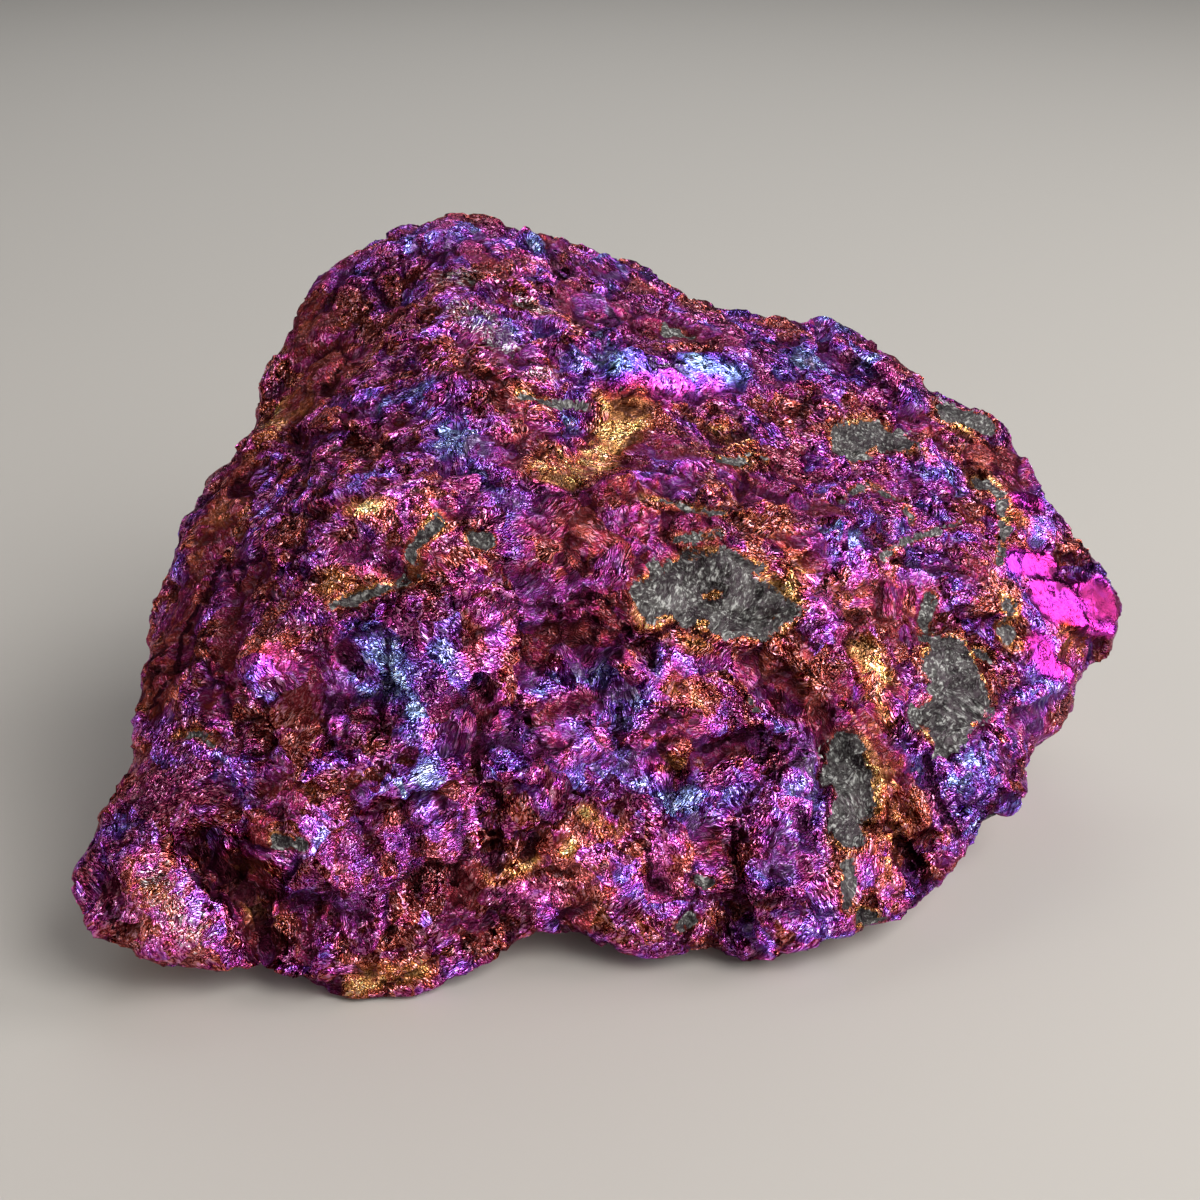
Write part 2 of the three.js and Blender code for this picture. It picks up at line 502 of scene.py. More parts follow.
def breakIntoPlates(stone):
    place = warped(placeInMm(stone), lumpShape["plateWarp"], lumpShape["plateSize"])
    return raised(stone, leaningFaces(place, lumpShape["plateSize"]) * lumpShape["plateLean"])


def stored(stone, name, value):
    settings = {"data_type": "FLOAT", "domain": "POINT"}
    sockets = {"Geometry": stone, "Name": name, "Value": value}
    return stone.node("GeometryNodeStoreNamedAttribute", settings, sockets)


def named(stone, name):
    return stone.node("GeometryNodeInputNamedAttribute", {"data_type": "FLOAT"}, {"Name": name})


# Where the crystals that the ore broke along and their blocks lie, the same for the shape and for the finish
def crystalPlace(place):
    return warped(place, *lumpShape["crystalWarp"])


def blockPlace(place):
    return warped(place, *lumpShape["blockWarp"])


# About the distance in mm from the edge of the nearest crystal: half the difference to the second nearest
def crystalGap(place):
    sockets = {"Vector": crystalPlace(place), "Scale": 1 / lumpShape["crystalSize"]}
    nearest = place.node("ShaderNodeTexVoronoi", {}, sockets)["Distance"]
    second = place.node("ShaderNodeTexVoronoi", {"feature": "F2"}, sockets)["Distance"]
    return 0.5 * (second - nearest) * lumpShape["crystalSize"]


# Ragged edge of the host rock: above a half it is rock. Small cells make its outline angular.
def rockEdge(place, weight):
    block = cells(blockPlace(place), lumpShape["blockSize"])["Color"]
    uneven = lumpShape["rockUneven"] * pattern(place, "patches").swing()
    return weight + uneven + lumpShape["rockAngular"] * part(block, "X").swing()


# Breaks the stone into crystals and blocks, sinks its gaps, hollows and rock, and colours its hidden sides
def breakIntoGrains(stone):
    place = placeInMm(stone)
    hidden = 1 - named(stone, "shown")
    veins = lumpShape["veinWeight"] * brokenLines(place, "veins", "veinBreaks")
    rock = named(stone, "hostRock").atLeast(hidden * pattern(place, "hiddenRock").atLeast(veins))
    stone = stored(stone, "hostRock", rock)
    stone = stored(stone, "film", named(stone, "film") + hidden * pattern(place, "hiddenFilm").swing())
    # Dull tarnish and painted shade in hollows, joined by random dull hollows: the stone sinks there, and
    # the mask is stored for the colour
    matte = named(stone, "matte").atLeast(lumpShape["hollowWeight"] * pattern(place, "hollows"))
    stone = stored(stone, "matte", matte)
    gap = (1 - crystalGap(place).smooth(0, lumpShape["gapWidth"])) * pattern(place, "openGaps")
    stone = stored(stone, "gap", gap)
    height = leaningFaces(crystalPlace(place), lumpShape["crystalSize"]) * lumpShape["crystalLean"]
    height = height + leaningFaces(blockPlace(place), lumpShape["blockSize"]) * lumpShape["blockLean"]
    height = height - gap * lumpShape["gapDepth"]
    height = height - brokenLines(place, "seams", "seamBreaks") * lumpShape["crackDepth"]
    height = height + lumpShape["ripple"] * pattern(place, "ripple").swing()
    height = height * (1 - named(stone, "facet")) - matte * lumpShape["matteSink"]
    height = height - rockEdge(place, rock).smooth(*lumpShape["rockStep"]) * lumpShape["rockSink"]
    stone = raised(stone, height)
    middle = stone.node("GeometryNodeInputPosition")
    sockets = {"Value": middle, "Iterations": lumpShape["evenedSteps"]}
    evened = stone.node("GeometryNodeBlurAttribute", {"data_type": "FLOAT_VECTOR"}, sockets)
    standsOut = middle.vector("SUBTRACT", evened).dot(stone.node("GeometryNodeInputNormal")) * (1 / mm)
    return stored(stone, "standsOut", standsOut)


# Dull grey host rock that the photograph shows between the ore: paths of pixels and half widths in mm
rockPatches = {
    "wideShelf": {"path": [(655, 598), (690, 580), (720, 572), (745, 594), (775, 606)], "reach": 3.0},
    "wideShelfLow": {"path": [(680, 606), (720, 612), (755, 622)], "reach": 2.2},
    "darkPair": {"path": [(850, 440), (880, 430), (902, 442)], "reach": 3.0},
    "shoulderEdge": {"path": [(950, 410), (980, 420)], "reach": 2.4},
    "tipPatch": {"path": [(952, 662), (972, 690), (945, 722)], "reach": 3.8},
    "lowSeam": {"path": [(846, 752), (858, 800), (848, 832)], "reach": 2.6},
    "footSpot": {"path": [(865, 918), (878, 924)], "reach": 1.3},
    "knobChip": {"path": [(278, 842), (298, 846)], "reach": 1.1},
    "bulgeChip": {"path": [(476, 538), (488, 542)], "reach": 0.9},
}

# Veins, thin streaks and small chips of it, which show less
rockStreaks = {
    "wideShelfTop": {"path": [(690, 556), (722, 552), (760, 566)], "reach": 1.2},
    "tipPatchArm": {"path": [(960, 645), (986, 656)], "reach": 1.4},
    "lowSeamFoot": {"path": [(848, 860), (850, 905)], "reach": 1.2},
    "tipGap": {"path": [(932, 596), (926, 636)], "reach": 1.2},
    "tipPale": {"path": [(1008, 600), (1010, 640)], "reach": 1.5},
    "tipVein": {"path": [(1002, 500), (1006, 530), (1000, 560)], "reach": 0.8},
    "shoulderVein": {"path": [(842, 500), (870, 482), (906, 500), (912, 520)], "reach": 0.8},
    "palePatch": {"path": [(980, 478), (1006, 500)], "reach": 1.5},
    "slopeVein": {"path": [(880, 560), (905, 540), (940, 530), (962, 520)], "reach": 0.7},
    "goldSide": {"path": [(712, 452), (738, 462), (764, 460)], "reach": 1.2},
    "forkVein": {"path": [(436, 520), (412, 548), (416, 575)], "reach": 1.2},
    "forkTail": {"path": [(408, 580), (372, 592), (335, 604)], "reach": 0.8},
    "rearVein": {"path": [(520, 392), (552, 402), (585, 406)], "reach": 0.8},
    "middleVein": {"path": [(645, 496), (690, 502), (725, 510)], "reach": 0.8},
    "middleVeinLow": {"path": [(678, 538), (705, 536), (722, 530)], "reach": 0.7},
    "leftVein": {"path": [(178, 735), (196, 732), (212, 742)], "reach": 0.8},
    "lowChip": {"path": [(698, 882), (710, 884)], "reach": 0.8},
    "edgeChip": {"path": [(680, 928), (690, 922)], "reach": 0.9},
    "smallChip": {"path": [(752, 700), (758, 708)], "reach": 0.7},
    "crestChip": {"path": [(668, 328), (690, 332)], "reach": 1.0},
}

# Bright untarnished sulphide near the peak, and painted glints on the knob, the tongue and the crest streak
silverAndGlintSpots = {
    "peak": {"path": [(455, 308), (488, 320), (505, 336)], "reach": 2.6},
    "peakLow": {"path": [(535, 372), (552, 374)], "reach": 1.3},
    "peakTop": {"path": [(445, 278), (470, 276)], "reach": 1.6},
    "peakSide": {"path": [(520, 300), (545, 310)], "reach": 1.3},
    "crestStreak": {"path": [(648, 362), (705, 364)], "reach": 2.0, "share": 0.5},
    "knobGlint": {"path": [(160, 880), (176, 912), (196, 932)], "reach": 3.3, "share": 0.8},
    "tongueGlint": {"path": [(812, 748), (804, 800), (788, 862)], "reach": 2.4, "share": 0.42},
}

# How the tarnish film differs from the plain magenta one: thinner is gold and red, thicker is blue
filmZones = {
    "goldTrough": {"path": [(622, 404), (618, 435), (590, 462), (556, 474)], "reach": 3.0, "film": -0.6},
    "yellowGrains": {"path": [(866, 652), (878, 685), (882, 712)], "reach": 2.0, "film": -0.5},
    "goldBySeam": {"path": [(722, 432), (742, 440)], "reach": 1.8, "film": -0.42},
    "goldByPink": {"path": [(352, 508), (370, 505)], "reach": 1.3, "film": -0.5},
    "orangeCrevice": {"path": [(236, 858), (258, 872), (264, 905)], "reach": 2.2, "film": -0.42},
    "brownGold": {"path": [(290, 800), (310, 790)], "reach": 2.4, "film": -0.16},
    "lowGold": {"path": [(585, 812), (600, 826), (616, 834)], "reach": 0.9, "film": -0.38},
    "goldBead": {"path": [(568, 846)], "reach": 1.0, "film": -0.5},
    "pitGold": {"path": [(494, 878), (515, 870), (536, 862)], "reach": 0.9, "film": -0.38},
    "edgeGold": {"path": [(350, 985), (398, 974), (420, 968)], "reach": 1.6, "film": -0.32},
    "lowEdge": {"path": [(590, 915), (650, 930), (720, 930)], "reach": 2.4, "film": -0.1},
    "peachRidge": {"path": [(676, 676), (690, 700), (704, 722)], "reach": 1.6, "film": -0.18},
    "knobPeach": {"path": [(160, 890), (178, 925)], "reach": 2.8, "film": -0.17},
    "seamGold": {"path": [(868, 745), (882, 775)], "reach": 1.8, "film": -0.34},
    "shoulderOrange": {"path": [(276, 402), (292, 425)], "reach": 3.0, "film": -0.14},
    "tipMagenta": {
        "path": [(1020, 560), (1075, 602), (1104, 612), (1045, 660)],
        "reach": 3.6, "film": 0.06,
    },
    "flankRust": {"path": [(225, 510), (205, 550), (190, 590)], "reach": 3.4, "film": -0.13},
    "flankLow": {"path": [(160, 640), (145, 700)], "reach": 3.0, "film": -0.12},
    "ridgeRust": {"path": [(215, 620), (200, 690), (190, 740)], "reach": 3.4, "film": -0.04},
    "rustFace": {"path": [(270, 720), (310, 730), (300, 770)], "reach": 4.4, "film": 0.02},
    "midRust": {"path": [(330, 585), (372, 590)], "reach": 2.4, "film": -0.26},
    "upperCrimson": {"path": [(300, 330), (330, 370), (300, 400)], "reach": 6.0, "film": -0.14},
    "goldVeil": {"path": [(320, 480), (345, 500)], "reach": 3.0, "film": -0.1},
    "middleWine": {"path": [(570, 525), (640, 530), (770, 520)], "reach": 4.6, "film": -0.1},
    "channelWine": {"path": [(560, 590), (590, 640)], "reach": 3.4, "film": -0.08},
    "ledgeWine": {"path": [(750, 665), (800, 700)], "reach": 3.5, "film": -0.14},
    "shelfOrange": {"path": [(790, 590), (800, 575)], "reach": 1.6, "film": -0.3},
    "shelfRim": {"path": [(640, 622), (680, 640), (720, 640)], "reach": 1.6, "film": -0.24},
    "lowShelfGold": {"path": [(640, 766), (700, 762), (740, 752)], "reach": 1.0, "film": -0.28},
    "tipPeach": {"path": [(1066, 634), (1082, 650)], "reach": 1.5, "film": -0.34},
    "tipPeachUp": {"path": [(1008, 514), (1022, 518)], "reach": 1.2, "film": -0.3},
    "slopePeach": {"path": [(955, 420), (968, 428)], "reach": 1.6, "film": -0.3},
    "bulgeBlue": {"path": [(375, 605), (395, 640), (400, 670)], "reach": 4.6, "film": 0.2},
    "bulgeDeep": {"path": [(355, 668), (400, 690), (440, 690)], "reach": 4.4, "film": 0.18},
    "bulgeViolet": {"path": [(470, 600), (500, 620), (480, 680)], "reach": 3.4, "film": 0.06},
    "paleSlab": {"path": [(395, 788), (420, 778), (428, 768)], "reach": 1.9, "film": 0.14},
    "blueSlab": {"path": [(545, 684), (570, 676), (596, 670)], "reach": 1.9, "film": 0.34},
    "lilacSlab": {"path": [(575, 722), (610, 712), (632, 700)], "reach": 2.2, "film": 0.22},
    "slabBelow": {"path": [(495, 750), (515, 740), (520, 770)], "reach": 2.4, "film": 0.24},
    "tongueBlue": {"path": [(812, 745), (804, 800), (786, 868)], "reach": 3.4, "film": 0.3},
    "noduleBlue": {"path": [(975, 760), (985, 785), (975, 810)], "reach": 3.0, "film": 0.34},
    "noduleViolet": {"path": [(940, 770), (950, 800)], "reach": 2.6, "film": 0.26},
    "crestStreak": {"path": [(605, 360), (640, 368), (690, 372)], "reach": 3.0, "film": 0.24},
    "crestPale": {"path": [(700, 354), (728, 374)], "reach": 2.0, "film": 0.5},
    "crestRight": {"path": [(770, 360), (820, 360), (870, 375)], "reach": 5.0, "film": 0.24},
    "troughViolet": {"path": [(568, 420), (572, 440)], "reach": 1.8, "film": 0.24},
    "upperBlue": {"path": [(380, 400), (420, 392)], "reach": 2.6, "film": 0.28},
    "valleyViolet": {"path": [(470, 440), (485, 470), (516, 506)], "reach": 4.2, "film": 0.24},
    "peakViolet": {"path": [(420, 240), (470, 232), (520, 240)], "reach": 4.0, "film": 0.24},
    "crestViolet": {"path": [(580, 300), (650, 310), (720, 325)], "reach": 4.0, "film": 0.16},
    "shoulderViolet": {"path": [(345, 275), (365, 268)], "reach": 3.0, "film": 0.2},
    "slopeViolet": {"path": [(835, 540), (860, 535)], "reach": 2.8, "film": 0.24},
    "slopeDeep": {"path": [(915, 550), (945, 560)], "reach": 3.0, "film": 0.2},
    "frontPurple": {"path": [(640, 790), (670, 810), (715, 790)], "reach": 3.6, "film": 0.14},
    "footPurple": {"path": [(600, 770), (560, 790)], "reach": 3.0, "film": 0.12},
    "lowPurple": {"path": [(350, 860), (400, 850), (430, 880)], "reach": 5.0, "film": 0.06},
    "leftPurple": {"path": [(140, 800), (180, 780), (230, 770)], "reach": 4.0, "film": 0.16},
    "knobDark": {"path": [(100, 870), (110, 910)], "reach": 2.6, "film": 0.12},
    "seamPeach": {"path": [(885, 760), (900, 790), (890, 860)], "reach": 2.6, "film": -0.16},
    "rightRose": {"path": [(800, 590), (850, 600), (890, 600)], "reach": 3.4, "film": -0.1},
    "tipRose": {"path": [(960, 440), (985, 470)], "reach": 3.4, "film": -0.12},
    "ribsViolet": {"path": [(604, 340), (618, 385)], "reach": 2.0, "film": 0.3},
    "flankRed": {"path": [(262, 420), (240, 470), (215, 530)], "reach": 3.0, "film": -0.1},
    "rightPurple": {"path": [(790, 460), (860, 490), (930, 480)], "reach": 5.0, "film": 0.1},
    "tipCrown": {"path": [(1008, 498), (1036, 516)], "reach": 2.6, "film": 0.06},
    "lowMound": {"path": [(515, 896), (548, 902)], "reach": 2.6, "film": 0.16},
}

# Painted highlights: ore painted paler where the light picks it out
highlightFaces = {
    "pinkMound": {"path": [(388, 510), (418, 510)], "reach": 2.2},
    "leftMound": {"path": [(262, 664), (282, 656)], "reach": 1.8},
    "cornerKnob": {"path": [(150, 875), (165, 905), (200, 930)], "reach": 4.2},
    "slabPink": {"path": [(575, 724), (620, 720), (660, 740)], "reach": 2.8},
    "peachRidge": {"path": [(676, 676), (692, 705), (680, 740)], "reach": 2.6},
    "paleSlab": {"path": [(395, 788), (430, 768)], "reach": 1.8},
    "bulgePink": {"path": [(455, 665), (490, 650), (510, 610)], "reach": 2.2},
    "crestStreak": {"path": [(610, 366), (650, 372), (715, 370)], "reach": 3.2},
    "lowMound": {"path": [(520, 895), (550, 900)], "reach": 2.2},
    "lowPink": {"path": [(435, 830), (470, 815)], "reach": 2.4},
    "edgeMound": {"path": [(352, 968), (366, 978)], "reach": 1.6},
    "tonguePale": {"path": [(808, 745), (798, 790), (778, 850)], "reach": 2.6},
    "seamPink": {"path": [(868, 870), (890, 882), (880, 840)], "reach": 2.4},
    "tip": {"path": [(1020, 560), (1075, 602), (1106, 612), (1045, 660)], "reach": 3.4},
    "tipCrown": {"path": [(1005, 495), (1030, 520), (1020, 548)], "reach": 3.4},
    "goldTrough": {"path": [(622, 404), (618, 435), (590, 462), (556, 474)], "reach": 2.8},
    "yellowGrains": {"path": [(866, 652), (878, 685), (882, 712)], "reach": 1.8},
    "lowGold": {"path": [(585, 812), (600, 826), (616, 834)], "reach": 1.2},
    "goldByPink": {"path": [(352, 508), (370, 505)], "reach": 1.2},
    "tonguePeach": {"path": [(892, 560), (905, 600)], "reach": 1.6},
    "seamPeach": {"path": [(885, 760), (900, 790)], "reach": 2.0},
    "lowFront": {"path": [(560, 850), (620, 880), (690, 860)], "reach": 3.0},
    "bulgeLow": {"path": [(455, 800), (440, 850), (400, 830)], "reach": 2.8},
    "ridgePink": {"path": [(560, 760), (600, 740), (650, 770)], "reach": 2.6},
    "footPink": {"path": [(330, 820), (350, 880)], "reach": 2.6},
    "slopePink": {"path": [(820, 590), (850, 600), (880, 590)], "reach": 2.4},
}

# Deep red hollows where the tarnish is dull, with painted shade: hollows under ledges and slabs and the
# shaded left flank are painted deep red as well
dullAndShadedHollows = {
    "middleBelt": {"path": [(560, 525), (640, 540), (690, 530)], "reach": 4.2},
    "beltRight": {"path": [(740, 480), (790, 500), (830, 510)], "reach": 2.6},
    "besideShelf": {"path": [(560, 570), (600, 600), (585, 645)], "reach": 3.2},
    "ledgeHollow": {"path": [(752, 672), (800, 705), (836, 738)], "reach": 3.0},
    "slabShade": {"path": [(542, 714), (590, 698), (625, 688)], "reach": 1.5},
    "bulgeHollow": {"path": [(455, 708), (470, 752)], "reach": 2.0},
    "bulgeChannel": {"path": [(530, 575), (545, 620), (532, 668)], "reach": 2.0},
    "shelfShade": {"path": [(706, 752), (752, 740)], "reach": 1.3},
    "upperLeft": {"path": [(300, 320), (330, 360), (305, 400)], "reach": 5.0},
    "flank": {"path": [(235, 470), (210, 540), (175, 625), (155, 690)], "reach": 3.4},
    "crestBack": {"path": [(590, 300), (650, 318), (710, 332)], "reach": 2.6},
    "goldBelow": {"path": [(588, 492), (640, 488), (690, 474)], "reach": 1.8},
    "ridgeLeft": {"path": [(240, 590), (225, 650), (215, 700)], "reach": 2.4},
    "footLeft": {"path": [(215, 870), (240, 905), (262, 950)], "reach": 1.8},
    "lowFoot": {"path": [(465, 880), (462, 920)], "reach": 2.4},
    "frontHollow": {"path": [(700, 830), (715, 850)], "reach": 2.0},
    "smallHollow": {"path": [(548, 745), (560, 738)], "reach": 1.6},
    "noduleShade": {"path": [(1020, 720), (1050, 730)], "reach": 2.4},
    "upperMiddle": {"path": [(640, 440), (680, 450)], "reach": 2.6},
}

painting = {
    "fade": 1.6,                    # a zone fades out at this many times its reach
    "plainFilm": 0.49,              # thickness of the film between the zones
    "shownSlope": 0.25,             # cosine of a face's angle to the camera, from which it counts as shown
    "streakShare": 0.75,            # how strongly veins and thin streaks of rock show
}


# How strongly each point of the stone lies in a zone, from 1 along its path to 0 at its edge
def zoneWeight(lump, camera, places, zone):
    reach = zone["reach"] * mm
    path, _ = layPath(lump, camera, zone["path"])
    near, gap, _ = nearPath(places, path, reach)
    weight = np.zeros(len(places), np.float32)
    share = np.clip((painting["fade"] - gap / reach) / painting["fade"], 0, 1)
    weight[near] = zone.get("share", 1) * share * share * (3 - 2 * share)   # a smooth step
    return weight


def paintAttribute(lump, name, values):
    attribute = lump.data.attributes.new(name, "FLOAT", "POINT")
    attribute.data.foreach_set("value", values.astype(np.float32))


def paintZones(lump, camera):
    places, normals = pointsOf(lump)
    film = np.full(len(places), painting["plainFilm"])
    for zone in filmZones.values():
        film += zone["film"] * zoneWeight(lump, camera, places, zone)
    paintAttribute(lump, "film", film)
    streaks = {name: {**zone, "share": painting["streakShare"]} for name, zone in rockStreaks.items()}
    zoneSets = {
        "hostRock": {**rockPatches, **streaks},
        "silver": silverAndGlintSpots,
        "bright": highlightFaces,
        "matte": dullAndShadedHollows,
    }
    for name, zones in zoneSets.items():
        weights = [zoneWeight(lump, camera, places, zone) for zone in zones.values()]
        paintAttribute(lump, name, np.max(weights, axis=0))
    # Painted shade along the cracks of the strokes that give a half width for it
    cracks = [{**stroke, "reach": stroke["dark"]} for stroke in stoneStrokes.values() if "dark" in stroke]
    weights = [zoneWeight(lump, camera, places, crack) for crack in cracks]
    paintAttribute(lump, "crack", np.max(weights, axis=0))
    facet = np.zeros(len(places))
    for face in cleavageFaces.values():
        reach = face["reach"] * mm
        path, _ = layPath(lump, camera, face["path"])
        near, gap, _ = nearPath(places, path, reach)
        facet[near] = np.maximum(facet[near], face["share"] * cleavageShare(gap / reach))
    paintAttribute(lump, "facet", facet)
    towards = np.array(camera.location) - places
    towards /= np.linalg.norm(towards, axis=1)[:, None]
    slope = (towards * normals).sum(axis=1)
    paintAttribute(lump, "shown", np.clip(slope / painting["shownSlope"], 0, 1))


# Tarnish colours from the thinnest film to the thickest, and the rest of the ore's finish, with the colours
# of its painted shade, sheen and glints
oreFinishAndPaintedLight = {
    "filmColours": [
        (0.00, (0.95, 0.46, 0.12)),
        (0.10, (0.80, 0.25, 0.05)),
        (0.22, (0.45, 0.075, 0.02)),
        (0.34, (0.34, 0.034, 0.02)),
        (0.43, (0.39, 0.022, 0.15)),
        (0.53, (0.42, 0.028, 0.29)),
        (0.63, (0.34, 0.036, 0.50)),
        (0.74, (0.19, 0.055, 0.60)),
        (0.86, (0.11, 0.14, 0.60)),
        (1.00, (0.26, 0.40, 0.76)),
    ],
    # pale pink of the painted glints on grains, then the grey of the painted sheen on crease tops
    "paleGrain": (1.00, 0.44, 0.72, 1),
    "crestColour": (0.33, 0.28, 0.32, 1),
    # deep red for dull tarnish and for painted shade in hollows
    "matteColour": (0.17, 0.012, 0.04, 1),
    # nearly black painted shade for crevices, gaps, creases and cracks
    "creviceColour": (0.022, 0.003, 0.008, 1),
    "grainSize": 0.55,              # mm
    "waviness": (0.25, 0.9),        # mm, how far the grains' lines wander, and over what length
    "creaseSize": 0.60,             # mm
    "creaseDetail": 2,
    "creaseRough": 0.7,
    "creaseDepth": 1.2 * mm,
    "creaseStrength": (0.35, 1),    # in the smoothest crystals and in the roughest
    "crystalLean": 0.70,
    "blockLean": 0.85,
    "grainLean": 0.95,
    "brightLean": 0.7,              # how far the grains of the painted highlight faces turn to the key light
    "grainStretch": (0.45, 0.85),   # how much longer than wide the grains are, from 0 to 1
    "filmSwing": {                  # how far each tone thins or thickens the film
        "broad": 0.6, "patchy": 1.08, "crystal": 0.336, "block": 0.312, "grain": 0.12, "crease": 0.072,
    },
    "filmThinnest": -0.2,           # the furthest that tones thin it
    "rimThinning": 0.26,            # how far the film thins beside the host rock
    "raggedEdge": {"patchy": 0.6, "block": 0.4},    # how far tones move the outline of a painted zone
    "crackEdge": {"patchy": 0.5},
    "fineEdge": 0.35,               # how far fine grain moves the outline of the host rock
    "silverSpread": 1.3,            # how far it scatters the bright sulphide and the painted glints
    "rockSpeckle": {"crease": 0.5, "patchy": 0.6, "block": 0.2},
    "roughness": 0.18,
    "roughnessOf": {"grain": 0.15, "matte": 0.2, "crevice": 0.2, "rock": 0.35, "bright": -0.05},
    "edgeTint": (0.90, 0.62, 0.82, 1),
    "rockColours": [
        (0.20, (0.010, 0.010, 0.009)),
        (0.44, (0.060, 0.062, 0.057)),
        (0.64, (0.15, 0.155, 0.147)),
        (0.86, (0.42, 0.43, 0.41)),
    ],
    "silverColour": (0.62, 0.65, 0.65, 1),
}

# The values over which each mark of the finish, painted shade and painted highlights among them, comes in,
# and how strongly it shows
markRanges = {
    "crease": (0, 0.2),
    "creaseGap": (0.01, 0.07),
    "creaseTop": (0.55, 1),
    "ragged": (0.32, 0.64),
    "rock": (0.46, 0.54),
    "rim": (0.12, 0.44),
    "crevice": (-0.28, 0.04),       # mm that the stone stands out
    "ridge": (0.06, 0.3),           # mm
    "gap": (0.3, 0.8),
    "crack": (0.42, 0.62),
    "silver": (0.42, 0.7),
}
markShares = {
    "matte": 0.65,
    "bright": 0.8,
    "ridge": 0.5,
    "crevice": 0.7,
    "gap": 0.85,
    "creaseGap": 0.8,
    "crack": 0.95,
    "paleGrain": 0.3,
    "paleFace": 0.2,
    "facet": 0.3,
    "silver": 0.8,
}

# How much of a mark is lost in dull and shaded hollows, on cleavage faces and in host rock
markLosses = {
    "film": {"facet": 0.8},
    "creaseGap": {"matte": 0.5, "facet": 0.7},
    "crest": {"matte": 0.6, "facet": 1},
    "pale": {"matte": 0.8, "facet": 1},
    "bright": {"matte": 1, "facet": 1},
    "lean": {"matte": 0.2, "facet": 0.8, "rock": 0.3},
}


